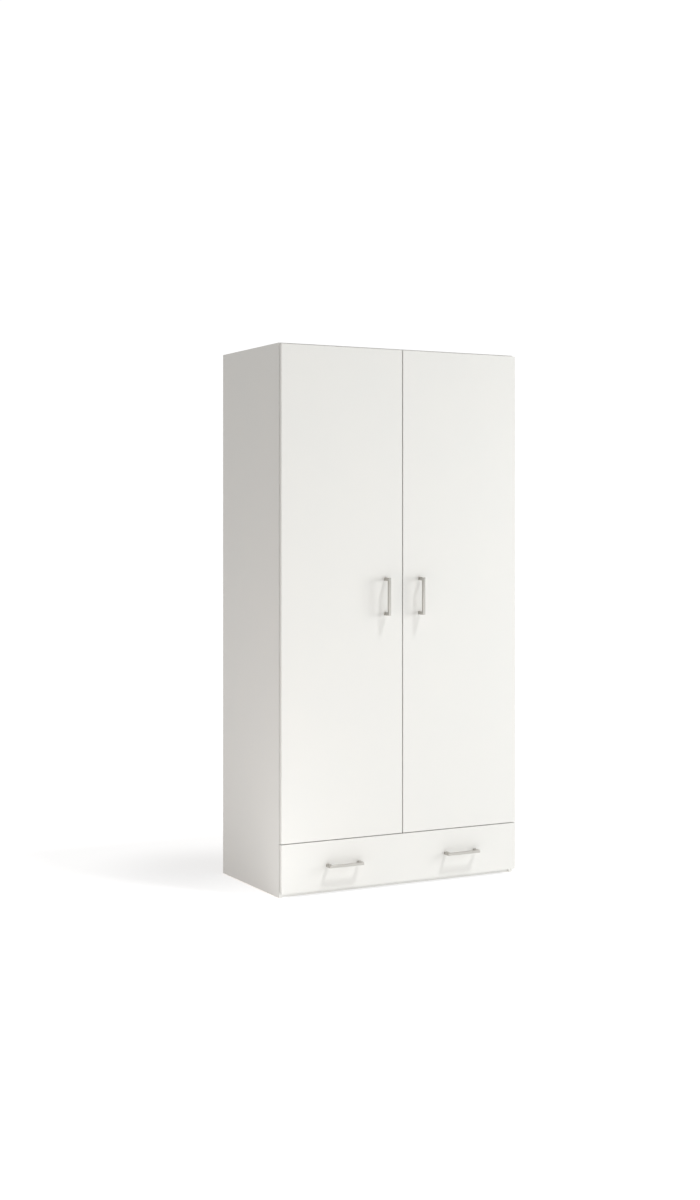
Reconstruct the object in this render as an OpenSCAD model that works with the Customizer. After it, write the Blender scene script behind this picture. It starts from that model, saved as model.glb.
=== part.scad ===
// Two-door wardrobe with one full-width drawer below the doors.
// X runs from left to right, Y from front to back and Z up.
// The origin lies on the floor, under the middle of the whole wardrobe.

/* [Overall] */
// Width over both side panels
wardrobe_w = 1000; // [800:10:1200]
// Height from the floor to the top
wardrobe_h = 2000; // [1800:10:2300]
// Depth from the back edges to the door faces, without handles
wardrobe_d = 520; // [500:5:640]

/* [Boards] */
// Thickness of the sides, top, floor, shelf and plinths
board_t = 16; // [15:1:19]
// Thickness of the back panels
back_t = 3; // [2.5:0.5:4]
// Distance from the back edges to the grooves of the back panels
back_inset = 10; // [6:1:20]
// Depth of the grooves
groove_d = 6; // [4:0.5:8]
// Web thickness of the strip that joins the two back panels
joint_web = 1.6; // [1:0.1:3]
// Width of the flanges of that strip
joint_flange = 24; // [16:1:40]
// Height of the plinth boards
plinth_h = 56; // [50:1:58]
// How far the front plinth stands behind the front edges of the sides
plinth_setback = 8; // [4:1:40]
// Height of the glides under the sides
glide_h = 3; // [2:0.5:5]
// Diameter of the glides
glide_d = 14; // [10:1:15]

/* [Fronts] */
// Thickness of the doors and the drawer front
front_t = 16; // [16:1:19]
// Gap between the carcass and the fronts
door_gap = 4; // [2.8:0.1:4.4]
// Gap between the drawer front and the doors
front_gap = 3; // [2:0.5:5]
// Gap between the two doors
meeting_gap = 4; // [2:0.5:6]
// How far the doors end below the top
top_reveal = 5; // [2:1:7]
// Height of the drawer front
drawer_front_h = 178; // [170:1:200]
// Height of the drawer front's lower edge above the floor
drawer_front_lift = 18; // [10:1:30]
// Radius of the vertical edges of the fronts
edge_r = 1; // [0.5:0.1:2]
// Diameter of the bumper pads
bumper_d = 7; // [5:0.5:8]

/* [Handles] */
// Distance between the two screws of a handle
handle_pitch = 128; // [96:1:192]
// Length of each foot of a handle, along the handle
handle_foot = 12; // [10:0.5:16]
// Width of a handle across its length
handle_w = 10; // [8:0.5:16]
// Thickness of the handle's grip bar
handle_bar = 9; // [6:0.5:12]
// Distance from the front to the handle's outer face
handle_reach = 35; // [28:1:45]
// Radius of the handle's outer corners
handle_r = 3; // [1:0.5:5]
// Radius of the long edges of the grip's outer face
grip_edge_r = 1; // [0.5:0.1:3]
// Distance of each door handle from the middle of the wardrobe
handle_offset = 73; // [40:1:120]
// Height of the middle of the door handles
handle_z = 1080; // [900:10:1300]

/* [Hinges] */
// Number of hinges on each door
hinge_count = 4; // [3:1:5]
// Distance from a door's end to its first hinge
hinge_end = 110; // [100:5:200]
// Diameter of the hinge cup
cup_d = 35; // [35:1:40]
// Depth of the hinge cup
cup_depth = 12.5; // [12.3:0.1:12.6]
// Wall thickness of the cup
cup_wall = 0.8; // [0.6:0.1:0.9]
// Outer radius of the bend round the cup's bottom
cup_bend_r = 3; // [1.5:0.5:3.5]
// Depth of the hinge pin below the door's rear face
pin_depth = 8.5; // [8.3:0.1:8.7]
// Diameter of the hinge pin
pin_d = 2.4; // [2:0.1:2.6]
// Wall of the arm's eye round the pin
eye_wall = 1; // [0.8:0.1:1.1]
// Thickness of the hinge arm's steel
arm_t = 2.7; // [2:0.1:2.8]
// Width of the hinge arm inside the cup
arm_w = 8; // [6:0.5:9]
// Widest opening of the doors, in degrees
door_opening = 100; // [95:1:105]
// Gap between the arm's neck and the rear edge of the widest open door
arm_gap = 0.5; // [0.3:0.1:1]
// Least gap between a turning door's edge and the carcass
swing_clearance = 0.4; // [0.3:0.1:0.5]
// Distance between the two screws of the cup's flange
cup_screw_pitch = 48; // [45:1:52]
// Distance between the two screws of the mounting plate
plate_screw_pitch = 32; // [32:1:40]
// Distance of those screws from the carcass front
plate_setback = 37; // [34:1:40]

/* [Inside] */
// Clear height above the hat shelf
hat_space = 300; // [250:5:350]
// How far the hat shelf stands behind the carcass front
shelf_setback = 30; // [25:1:60]
// Gap between the hat shelf and the panels round it
shelf_gap = 1; // [0.5:0.1:1.5]
// Distance of the front shelf holes from the shelf's front edge
pin_row_setback = 50; // [30:1:80]
// Distance of the rear shelf holes from the back panels
pin_row_inset = 60; // [30:1:80]
// Distance between neighbouring shelf holes
shelf_hole_pitch = 32; // [25:1:50]
// Number of shelf holes in each row
shelf_holes = 5; // [3:2:7]
// Diameter of the shelf pins
shelf_pin_d = 5; // [4:0.5:6]
// Diameter of the hanging rail
rail_d = 25; // [18:1:30]
// Wall thickness of the hanging rail
rail_wall = 1; // [0.8:0.1:2]
// Distance from the hat shelf down to the rail's centre
rail_drop = 60; // [45:1:100]

/* [Drawer] */
// Thickness of the drawer's sides and back
drawer_t = 12; // [12:1:13]
// Height of the drawer box
drawer_h = 108; // [100:1:110]
// Space between the drawer box and the back panels
drawer_rear_space = 41; // [10:1:80]
// Thickness of the drawer bottom
bottom_t = 3; // [2.5:0.5:4]
// Height of the drawer bottom above the drawer sides' lower edge
bottom_lift = 12; // [10:1:16]
// Space for the runners on each side of the drawer
runner_space = 12.5; // [12.5:0.1:14]
// How far the drawer pulls out until its rollers meet the stops
drawer_travel = 330; // [250:5:340]
// Thickness of the runners' steel
steel_t = 1; // [0.8:0.1:1.2]
// Distance of the runners' screws from the ends of their rails
runner_screw_inset = 60; // [40:1:90]
// Diameter of the runner rollers
roller_d = 20; // [18:1:20]
// Width of the runner rollers
roller_w = 6; // [5:0.5:6]
// Distance from the cabinet rail's front end to its roller
front_roller_inset = 6; // [4:1:20]
// Distance from the drawer rail's rear end to its roller
rear_roller_inset = 12; // [8:1:20]
// Diameter of the roller axles
axle_d = 4; // [3:0.5:5]

/* [Fasteners] */
// Diameter of the cams
cam_d = 15; // [12:0.5:16]
// Length of the cams
cam_len = 12; // [10:0.5:12.5]
// Distance from a board's end to its cams
cam_set = 34; // [24:1:40]
// Distance from a board's edge to its first cam
cam_edge = 60; // [40:1:90]
// Diameter of the cam bolts' stems
bolt_d = 6; // [5:0.5:7]
// Diameter of the dowels
dowel_d = 8; // [6:1:10]
// Length of the dowels
dowel_len = 30; // [26:1:35]
// Diameter of the wood screws
screw_d = 3.5; // [3:0.5:4]
// Diameter of the handle screws
handle_screw_d = 4; // [3:0.5:5]
// Diameter of the hole for the screw that holds the wardrobe to the wall
wall_hole_d = 6; // [5:0.5:8]

/* [Fits] */
// Radial clearance of screws, bolts, dowels and cams in their holes
fit = 0.1; // [0.05:0.05:0.15]
// Radial clearance of the turning pins and axles
running_fit = 0.06; // [0.03:0.01:0.1]
// Gap where one piece slides in or rests against another
slip = 0.25; // [0.15:0.05:0.4]

/* [Hidden] */
$fn = 32;

LEFT = -1;
RIGHT = 1;
over = 1;        // how far a cut runs past the face it opens
hair = 0.05;     // a cut's overlap with the next cut

// Levels of the carcass along Y
front_y = (front_t + door_gap + handle_reach - (wardrobe_d - front_t - door_gap)) / 2;
back_y = front_y + wardrobe_d - front_t - door_gap;
back_panel_y1 = back_y - back_inset;
back_panel_y0 = back_panel_y1 - back_t;
front_rear_y = front_y - door_gap;
front_face_y = front_rear_y - front_t;

// Levels along Z
drawer_front_z1 = drawer_front_lift + drawer_front_h;
door_z0 = drawer_front_z1 + front_gap;
door_z1 = wardrobe_h - top_reveal;
door_h = door_z1 - door_z0;
floor_z0 = (drawer_front_z1 + door_z0 - board_t) / 2;
floor_z1 = floor_z0 + board_t;
top_z0 = wardrobe_h - board_t;
shelf_z1 = top_z0 - hat_space;
shelf_z0 = shelf_z1 - board_t;
plinth_z1 = glide_h + plinth_h;
rail_z = shelf_z0 - rail_drop;
inner_w = wardrobe_w - 2 * board_t;

// Depths that the screws, bolts and dowels bite into the faces of boards and fronts
blind_skin = 5;
face_bite = board_t - blind_skin;
front_bite = front_t - blind_skin;
dowel_gap = 2 * cam_d;

// Hinge line: the pin is far enough inside the door's edge for its rear corner to
// turn past the side panel with swing_clearance to spare
pin_y = front_rear_y - pin_depth;
corner_reach = pin_depth + door_gap - swing_clearance;
pin_u = sqrt(corner_reach * corner_reach - pin_depth * pin_depth);
eye_r = pin_d / 2 + running_fit + eye_wall;
cup_r = cup_d / 2 - fit;
cup_inner_r = cup_r - cup_wall;
cup_u = pin_u - eye_r - slip + sqrt(pow(cup_inner_r, 2) - pow(arm_w / 2 + slip, 2));
cup_floor_y = front_rear_y - cup_depth + cup_wall;
flange_t = 0.9;
flange_rim = 2;
ear_r = 6;
cup_screw_u = cup_u + cup_d / 6;
neck_u = pin_u + pin_depth * sin(door_opening) - pin_u * cos(door_opening) + arm_gap;
hinge_pitch = (door_h - 2 * hinge_end) / (hinge_count - 1);
hinge_levels = [for (i = [0 : hinge_count - 1]) door_z0 + hinge_end + i * hinge_pitch];

// Hinge arm and its mounting plate, from the carcass front backwards
plate_t = 2;
ridge_t = 5;
ridge_w = 7;
bridge_u = board_t + plate_t + ridge_t;
bridge_setback = 13;
bridge_y0 = front_y + bridge_setback;
channel_y0 = bridge_y0 + 4;
plate_wing_r = 6;
arm_tail = 28;
arm_end_y = front_y + plate_setback + arm_tail;
cheek_t = 1.2;
channel_w = ridge_w + 2 * (slip + cheek_t);
tail_r = channel_w / 2;
arm_screw_d = 5;
arm_screw_head_d = 8;
arm_screw_head_t = 1.6;
adjust_y = front_y + plate_setback - arm_tail * 0.43;
lock_y = front_y + plate_setback + arm_tail * 0.6;

// Runners, whose lane lies between the side panel and the drawer side
drawer_u = board_t + runner_space;
runner_z = plinth_z1 + 2;
drawer_z0 = runner_z + 5;
rail_setback = 2;
rail_y0 = front_y + rail_setback;
drawer_len = back_panel_y0 - drawer_rear_space - front_rear_y;
rail_y1 = rail_y0 + drawer_len;
lane_play = 0.75;
lane_w = roller_w + 2 * lane_play;
lane_u = board_t + (runner_space - lane_w) / 2;
tread_z = runner_z + steel_t;
rear_roller_z = tread_z + slip / 2 + roller_d / 2;
slide_z = rear_roller_z + roller_d / 2 + slip;
front_roller_z = slide_z - slip / 2 - roller_d / 2;
front_roller_y = rail_y0 + front_roller_inset + roller_d / 2;
drawer_y1 = front_rear_y + drawer_len;
rear_roller_y = drawer_y1 - rear_roller_inset - roller_d / 2;
rail_room = 3;
rail_h = slide_z + rail_room + 2 * steel_t - runner_z;
drawer_inner_u = drawer_u + drawer_t;
drawer_inner_w = wardrobe_w - 2 * drawer_inner_u;
bottom_z0 = drawer_z0 + bottom_lift;
bottom_z1 = bottom_z0 + bottom_t;
drawer_groove_d = drawer_t / 2;
drawer_handle_z = drawer_front_lift + drawer_front_h / 2;
drawer_handle_x = wardrobe_w / 4;

// Shelf supports and the hanging rail
pin_rows = [front_y + shelf_setback + pin_row_setback, back_panel_y0 - pin_row_inset];
rail_y = (front_y + back_panel_y0) / 2;
rail_end = 2;
socket_t = 4;
socket_wall = 2.5;
socket_rim = 5;
socket_len = 14;

// Colours
melamine = "whitesmoke";
nickel = "silver";
steel = "lightgray";

// ---------------------------------------------------------------- helpers

// Block between two opposite corners
module block(low, high) {
    translate(low) cube(high - low);
}

// Round bars along each axis, from one level to another
module rod_x(d, x0, x1, y, z) {
    translate([x0, y, z]) rotate([0, 90, 0]) cylinder(d = d, h = x1 - x0);
}

module rod_y(d, y0, y1, x, z) {
    translate([x, y0, z]) rotate([-90, 0, 0]) cylinder(d = d, h = y1 - y0);
}

module rod_z(d, z0, z1, x, y) {
    translate([x, y, z0]) cylinder(d = d, h = z1 - z0);
}

// Outline in plan, drawn up from one level to another
module upright(z0, z1) {
    translate([0, 0, z0]) linear_extrude(z1 - z0) children();
}

// Board standing on edge, with its four vertical edges rounded
module soft_board(low, high, r) {
    size = high - low;
    translate(low) linear_extrude(size[2]) {
        translate([r, 0]) square([size[0] - 2 * r, size[1]]);
        translate([0, r]) square([size[0], size[1] - 2 * r]);
        for (x = [r, size[0] - r], y = [r, size[1] - r]) translate([x, y]) circle(r);
    }
}

// Places children on one side of the wardrobe, where X counts inwards from
// the outer face of that side panel
module on_side(side) {
    mirror([side == RIGHT ? 1 : 0, 0, 0]) translate([-wardrobe_w / 2, 0, 0]) children();
}

module on_both_sides() {
    for (side = [LEFT, RIGHT]) on_side(side) children();
}

// Cross slot of a screwdriver in a face at x = 0
module cross_slot(length, width, depth) {
    for (turn = [45, 135]) rotate([turn, 0, 0]) cube([2 * depth, length, width], center = true);
}

// Screw along +X: the outer face of its head is at x = 0
module wood_screw(length, d = screw_d, head_t = screw_d / 2) {
    difference() {
        union() {
            rod_x(2 * d, 0, head_t, 0, 0);
            rod_x(d, 0, length, 0, 0);
        }
        cross_slot(1.2 * d, d / 4, head_t * 2 / 3);
    }
}

// ---------------------------------------------------------------- board joints

// Cam joints of one side: place in Y and Z, and the turn about X that makes the
// cam open downwards (0), backwards (90) or forwards (-90)
cam_ys = [front_y + cam_edge, back_panel_y0 - cam_edge];
dowel_ys = [cam_ys[0] + dowel_gap, cam_ys[1] - dowel_gap];
front_plinth_y = front_y + plinth_setback + board_t / 2;
rear_plinth_y = back_panel_y0 - slip - board_t / 2;
plinth_cam_z = glide_h + plinth_h * 0.3;
plinth_dowel_z = glide_h + plinth_h * 0.75;
top_joints = [for (y = cam_ys) [y, top_z0 + board_t / 2, 0]];
floor_joints = [for (y = cam_ys) [y, floor_z0 + board_t / 2, 0]];
front_plinth_joints = [[front_plinth_y, plinth_cam_z, 90]];
rear_plinth_joints = [[rear_plinth_y, plinth_cam_z, -90]];
cam_joints = concat(top_joints, floor_joints, front_plinth_joints, rear_plinth_joints);
top_dowels = [for (y = dowel_ys) [y, top_z0 + board_t / 2]];
floor_dowels = [for (y = dowel_ys) [y, floor_z0 + board_t / 2]];
front_plinth_dowels = [[front_plinth_y, plinth_dowel_z]];
rear_plinth_dowels = [[rear_plinth_y, plinth_dowel_z]];
dowel_places = concat(top_dowels, floor_dowels, front_plinth_dowels, rear_plinth_dowels);

bolt_bore_d = bolt_d + 1;
bolt_neck = 3;
bolt_neck_d = bolt_d - 2;
bolt_head_t = 2;
cam_slot_w = 1.4;
cam_slot_depth = 1.5;
dowel_bite = face_bite - 1;

module at_cam_joint(joint) {
    translate([board_t, joint[0], joint[1]]) rotate([joint[2], 0, 0]) children();
}

// Bolt along +X: it is screwed in for bite, and its head ends in a cam at x = set
module cam_bolt(bite, set) {
    rod_x(bolt_d, -bite, set - bolt_neck, 0, 0);
    rod_x(bolt_neck_d, set - bolt_neck - hair, set, 0, 0);
    rod_x(bolt_d, set - hair, set + bolt_head_t, 0, 0);
}

// Cam with its cross slot below and the pocket that grips the bolt's head
module cam_nut() {
    face = slip - board_t / 2;
    difference() {
        rod_z(cam_d, face, face + cam_len, cam_set, 0);
        rod_x(bolt_bore_d, cam_set - cam_d, cam_set + bolt_head_t + 1, 0, 0);
        translate([cam_set, 0, face]) rotate([0, 90, 0])
            cross_slot(cam_d / 2, cam_slot_w, cam_slot_depth);
    }
}

// What a cam joint takes out of the board that it pulls up
module cam_joint_cuts() {
    rod_x(bolt_bore_d, -over, cam_set, 0, 0);
    rod_z(cam_d + 2 * fit, -board_t / 2 - over, cam_len - board_t / 2 + 2 * slip, cam_set, 0);
}

// What the bolts and dowels take out of a side panel
module side_joint_cuts() {
    for (joint = cam_joints)
        at_cam_joint(joint) rod_x(bolt_d + 2 * fit, -face_bite - slip, over, 0, 0);
    for (place = dowel_places)
        rod_x(dowel_d + 2 * fit, board_t - dowel_bite - slip, board_t + over, place[0], place[1]);
}

// What one end of a board loses to its cams and dowels
module board_end_cuts(joints, dowels) {
    for (joint = joints) at_cam_joint(joint) cam_joint_cuts();
    for (place = dowels)
        rod_x(dowel_d + 2 * fit, board_t - over, board_t + dowel_len - dowel_bite + slip,
              place[0], place[1]);
}

module board_joint_cuts(joints, dowels) {
    on_both_sides() board_end_cuts(joints, dowels);
}

module cam_nuts() {
    color("darkgray") on_both_sides() for (joint = cam_joints) at_cam_joint(joint) cam_nut();
}

module cam_bolts() {
    color(steel) on_both_sides() for (joint = cam_joints) at_cam_joint(joint) cam_bolt(face_bite, cam_set);
}

module dowels() {
    color("burlywood") on_both_sides()
        for (place = dowel_places)
            rod_x(dowel_d, board_t - dowel_bite, board_t - dowel_bite + dowel_len,
                  place[0], place[1]);
}

// ---------------------------------------------------------------- carcass

shelf_hole_levels = [
    for (i = [0 : shelf_holes - 1])
        shelf_z0 - shelf_pin_d / 2 + (i - (shelf_holes - 1) / 2) * shelf_hole_pitch
];
rail_screw_r = rail_d / 2 + socket_wall + socket_rim;
glide_inset = 40;
glide_ys = [front_y + glide_inset, back_y - glide_inset];

// One side panel, in inward distance from its outer face
module side_panel() {
    difference() {
        block([0, front_y, glide_h], [board_t, back_y, wardrobe_h]);
        block([board_t - groove_d, back_panel_y0 - slip, glide_h - over],
              [board_t + over, back_panel_y1 + slip, wardrobe_h + over]);
        side_joint_cuts();
        for (y = pin_rows, z = shelf_hole_levels)
            rod_x(shelf_pin_d + 2 * fit, board_t - face_bite, board_t + over, y, z);
        for (z = hinge_levels) at_plate_screws(z) rod_x(screw_d + 2 * fit, -face_bite, over, 0, 0);
        at_rail_socket_screws() rod_x(screw_d + 2 * fit, -face_bite, over, 0, 0);
        at_runner_screws() rod_x(screw_d + 2 * fit, -face_bite, over, 0, 0);
        for (y = glide_ys) rod_z(glide_nail_d + 2 * fit, glide_h - over, glide_nail_z1 + slip,
                                 board_t / 2, y);
    }
}

module side_panel_left() {
    color(melamine) on_side(LEFT) side_panel();
}

module side_panel_right() {
    color(melamine) on_side(RIGHT) side_panel();
}

module top_panel() {
    color(melamine) difference() {
        block([-inner_w / 2, front_y, top_z0], [inner_w / 2, back_y, wardrobe_h]);
        block([-wardrobe_w / 2, back_panel_y0 - slip, top_z0 - over],
              [wardrobe_w / 2, back_panel_y1 + slip, top_z0 + groove_d]);
        board_joint_cuts(top_joints, top_dowels);
        at_wall_brackets() at_bracket_screws() rod_z(screw_d + 2 * fit, -over, face_bite, 0, 0);
    }
}

module compartment_floor() {
    color(melamine) difference() {
        block([-inner_w / 2, front_y, floor_z0], [inner_w / 2, back_panel_y0 - slip, floor_z1]);
        board_joint_cuts(floor_joints, floor_dowels);
        at_back_nails() nail_hole();
        joint_strip_relief();
    }
}

module hat_shelf() {
    half_w = inner_w / 2 - shelf_gap;
    color(melamine) difference() {
        block([-half_w, front_y + shelf_setback, shelf_z0],
              [half_w, back_panel_y0 - shelf_gap, shelf_z1]);
        // round seats for the shelf pins in the underside
        on_both_sides() for (y = pin_rows)
            rod_x(shelf_pin_d + 2 * slip, board_t, board_t + pin_len + pin_seat_room, y,
                  shelf_z0 - shelf_pin_d / 2);
        joint_strip_relief();
    }
}

module plinth_board(y, joints, dowel_list) {
    difference() {
        block([-inner_w / 2, y - board_t / 2, glide_h], [inner_w / 2, y + board_t / 2, plinth_z1]);
        board_joint_cuts(joints, dowel_list);
    }
}

module plinth_front() {
    color(melamine) plinth_board(front_plinth_y, front_plinth_joints, front_plinth_dowels);
}

module plinth_rear() {
    color(melamine) difference() {
        plinth_board(rear_plinth_y, rear_plinth_joints, rear_plinth_dowels);
        at_back_nails() nail_hole();
        joint_strip_relief();
    }
}

// ---------------------------------------------------------------- back

groove_room = 1;
back_z0 = glide_h + 2;
back_z1 = top_z0 + groove_d - groove_room;
strip_t = 1.2;
nail_d = 1.6;
nail_len = 20;
nail_head_t = 0.8;
nail_inset = 30;
nails = 4;
nail_pitch = (inner_w / 2 - 2 * nail_inset) / (nails - 1);
nail_levels = [plinth_z1 - 12, (floor_z0 + floor_z1) / 2];

// Room for the strip's front flange in the boards that the back panels rest against
module joint_strip_relief() {
    block([-joint_flange / 2 - slip, back_panel_y0 - slip - strip_t - slip, glide_h - over],
          [joint_flange / 2 + slip, back_y, top_z0]);
}

// One back panel, in inward distance from the outer face of its side panel
module back_panel(side) {
    on_side(side) difference() {
        block([board_t - groove_d + groove_room, back_panel_y0, back_z0],
              [wardrobe_w / 2 - joint_web / 2 - slip, back_panel_y1, back_z1]);
        one_side_nails() nail_hole();
        translate([bracket_u, 0, bracket_hole_z])
            rod_y(wall_hole_d + 2 * wall_hole_room, back_panel_y0 - over, back_panel_y1 + over, 0, 0);
    }
}

module back_panel_left() {
    color("white") back_panel(LEFT);
}

module back_panel_right() {
    color("white") back_panel(RIGHT);
}

// H-shaped strip that holds the two back panels together
module back_joint_strip() {
    color("white") upright(back_z0, top_z0 - slip) {
        translate([-joint_web / 2, back_panel_y0 - slip - hair])
            square([joint_web, back_t + 2 * (slip + hair)]);
        for (y = [back_panel_y0 - slip - strip_t, back_panel_y1 + slip])
            translate([-joint_flange / 2, y]) square([joint_flange, strip_t]);
    }
}

// Nail places of one side, on the back panel's rear face
module one_side_nails() {
    for (i = [0 : nails - 1], z = nail_levels)
        translate([board_t + nail_inset + i * nail_pitch, back_panel_y1, z]) children();
}

module at_back_nails() {
    on_both_sides() one_side_nails() children();
}

module nail_hole() {
    rod_y(nail_d + 2 * fit, -nail_len - slip, over, 0, 0);
}

module back_panel_nails() {
    color(steel) at_back_nails() {
        rod_y(nail_d, -nail_len, hair, 0, 0);
        rod_y(3 * nail_d, 0, nail_head_t, 0, 0);
    }
}

// ---------------------------------------------------------------- feet and wall brackets

glide_bevel = 1;
glide_nail_d = 2.5;
glide_nail_z1 = glide_h + 14;

module floor_glides() {
    color("white") on_both_sides() for (y = glide_ys) {
        translate([board_t / 2, y, 0]) {
            cylinder(d1 = glide_d - 2 * glide_bevel, d2 = glide_d, h = glide_bevel);
            translate([0, 0, glide_bevel - hair])
                cylinder(d = glide_d, h = glide_h - glide_bevel + hair);
        }
        rod_z(glide_nail_d, glide_h - hair, glide_nail_z1, board_t / 2, y);
    }
}

bracket_u = wardrobe_w / 4;
bracket_w = 30;
bracket_leg = 32;
bracket_t = 2;
bracket_hole_set = bracket_leg * 0.6;
bracket_hole_z = top_z0 - bracket_hole_set;
wall_hole_room = 2;
bracket_face_y = back_panel_y0 - slip;

module at_wall_brackets() {
    on_both_sides() translate([bracket_u, bracket_face_y, top_z0]) children();
}

module at_bracket_screws() {
    for (x = [-bracket_w / 4, bracket_w / 4]) translate([x, -bracket_hole_set, 0]) children();
}

module wall_brackets() {
    color(steel) at_wall_brackets() difference() {
        union() {
            block([-bracket_w / 2, -bracket_leg, -bracket_t], [bracket_w / 2, 0, 0]);
            block([-bracket_w / 2, -bracket_t, -bracket_leg], [bracket_w / 2, 0, -hair]);
        }
        at_bracket_screws() rod_z(screw_d + 2 * fit, -bracket_t - over, over, 0, 0);
        rod_y(wall_hole_d, -bracket_t - over, over, 0, bracket_hole_z - top_z0);
    }
}

module wall_bracket_screws() {
    color(nickel) at_wall_brackets() at_bracket_screws()
        translate([0, 0, -bracket_t - screw_d / 2 - hair])
            rotate([0, -90, 0]) wood_screw(face_bite);
}

bumper_x = 40;

module bumper_pads() {
    color("gainsboro") for (x = [-bumper_x, bumper_x])
        rod_y(bumper_d, front_rear_y + slip, front_y, x, (top_z0 + door_z1) / 2);
}

// ---------------------------------------------------------------- shelf pins and hanging rail

pin_len = 9;
pin_seat_room = 3;
pin_collar_d = shelf_pin_d + 2.6;
pin_collar_t = 0.8;
pin_collar_drop = 1.5;

module shelf_pins() {
    pin_z = shelf_z0 - shelf_pin_d / 2;
    color(nickel) on_both_sides() for (y = pin_rows) {
        rod_x(shelf_pin_d, board_t - face_bite + slip, board_t + pin_len, y, pin_z);
        rod_x(pin_collar_d, board_t, board_t + pin_collar_t, y, pin_z - pin_collar_drop);
    }
}

module hanging_rail() {
    length = inner_w - 2 * (socket_t / 2 + rail_end);
    color(nickel) difference() {
        rod_x(rail_d, -length / 2, length / 2, rail_y, rail_z);
        rod_x(rail_d - 2 * rail_wall, -length / 2 - over, length / 2 + over, rail_y, rail_z);
    }
}

module at_rail_socket_screws() {
    for (turn = [0, 180])
        translate([board_t, rail_y, rail_z]) rotate([turn, 0, 0])
            translate([0, rail_screw_r, 0]) children();
}

// Open-topped cup that carries one end of the hanging rail
module rail_socket() {
    plate_r = rail_screw_r + socket_rim;
    cup_end = board_t + socket_len;
    bore = rail_d + 2 * slip;
    difference() {
        union() {
            intersection() {
                rod_x(2 * plate_r, board_t, board_t + socket_t / 2, rail_y, rail_z);
                block([0, rail_y - plate_r, rail_z - bore / 2 - socket_wall],
                      [board_t + socket_t, rail_y + plate_r, rail_z + bore / 2 + socket_wall]);
            }
            rod_x(bore + 2 * socket_wall, board_t, cup_end, rail_y, rail_z);
        }
        rod_x(bore, board_t + socket_t / 2, cup_end + over, rail_y, rail_z);
        block([board_t + socket_t / 2, rail_y - bore / 2, rail_z],
              [cup_end + over, rail_y + bore / 2, rail_z + rail_d]);
        at_rail_socket_screws() rod_x(screw_d + 2 * fit, -over, socket_t, 0, 0);
    }
}

module rail_sockets() {
    color("white") on_both_sides() rail_socket();
}

module rail_socket_screws() {
    color(nickel) on_both_sides() at_rail_socket_screws()
        translate([socket_t / 2 + screw_d / 2 + hair, 0, 0])
            mirror([1, 0, 0]) wood_screw(face_bite);
}

// ---------------------------------------------------------------- hinges

module at_hinges() {
    on_both_sides() for (z = hinge_levels) translate([0, 0, z]) children();
}

module at_plate_screws(z = 0) {
    for (dz = [-plate_screw_pitch / 2, plate_screw_pitch / 2])
        translate([board_t, front_y + plate_setback, z + dz]) children();
}

// Strip under or over the ridge, from x = u, with a round tail
module arm_tail_plate(u, thickness) {
    block([u, channel_y0, -tail_r], [u + thickness, arm_end_y - tail_r, tail_r]);
    rod_x(2 * tail_r, u, u + thickness, arm_end_y - tail_r, 0);
}

// Cross-shaped mounting plate with the ridge that the arm is clamped on
module hinge_plate() {
    ridge_inset = 1;
    difference() {
        union() {
            arm_tail_plate(board_t, plate_t);
            at_plate_screws() rod_x(2 * plate_wing_r, 0, plate_t, 0, 0);
            block([board_t, front_y + plate_setback - plate_wing_r, -plate_screw_pitch / 2],
                  [board_t + plate_t, front_y + plate_setback + plate_wing_r,
                   plate_screw_pitch / 2]);
            block([board_t + plate_t - hair, channel_y0 + ridge_inset, -ridge_w / 2],
                  [bridge_u - hair, arm_end_y - tail_r + ridge_inset, ridge_w / 2]);
        }
        at_plate_screws() rod_x(screw_d + 2 * fit, -over, plate_t + over, 0, 0);
        for (y = [adjust_y, lock_y])
            rod_x(arm_screw_d + 2 * fit, board_t + plate_t / 2, bridge_u + over, y, 0);
    }
}

module hinge_plates() {
    color(nickel) at_hinges() hinge_plate();
}

module hinge_plate_screws() {
    color(nickel) at_hinges() at_plate_screws()
        translate([plate_t + screw_d / 2 + hair, 0, 0]) mirror([1, 0, 0])
            wood_screw(face_bite + plate_t);
}

// Outline of the arm in plan: the hook round the pin, the neck past the side
// panel's edge, and the bridge over the mounting plate
module arm_outline() {
    sole = arm_t - 0.2;
    neck_y1 = front_y + 5;
    bend_r = 2;
    difference() {
        union() {
            translate([pin_u, pin_y]) circle(eye_r);
            translate([pin_u, pin_y - sole]) square([neck_u + arm_t - pin_u - bend_r, arm_t]);
            translate([neck_u, pin_y - sole + bend_r]) square([arm_t, neck_y1 - pin_y + sole - bend_r]);
            translate([neck_u + arm_t - bend_r, pin_y - sole + bend_r]) circle(bend_r);
            translate([neck_u - bend_r, pin_y + arm_t - sole - hair])
                square([bend_r + hair, bend_r + hair]);
            polygon([
                [neck_u, neck_y1 - hair], [bridge_u, bridge_y0], [bridge_u + arm_t, bridge_y0 - 1],
                [neck_u + arm_t, neck_y1 - 1 - hair]
            ]);
            translate([bridge_u, bridge_y0 - 1]) square([arm_t, arm_end_y - bridge_y0 + 1]);
        }
        translate([neck_u - bend_r, pin_y + arm_t - sole + bend_r]) circle(bend_r);
        translate([pin_u, pin_y]) circle(pin_d / 2 + running_fit);
    }
}

module hinge_arm() {
    difference() {
        union() {
            translate([0, 0, -arm_w / 2]) linear_extrude(arm_w) arm_outline();
            // bridge plate, wider than the hook, and its two cheeks
            arm_tail_plate(bridge_u, arm_t);
            for (z = [-channel_w / 2, channel_w / 2 - cheek_t])
                block([board_t + plate_t + slip, channel_y0, z],
                      [bridge_u + hair, arm_end_y - tail_r, z + cheek_t]);
        }
        for (y = [adjust_y, lock_y])
            rod_x(arm_screw_d + 2 * fit, bridge_u - over, bridge_u + arm_t + over, y, 0);
    }
}

module hinge_arms() {
    color(nickel) at_hinges() hinge_arm();
}

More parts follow.
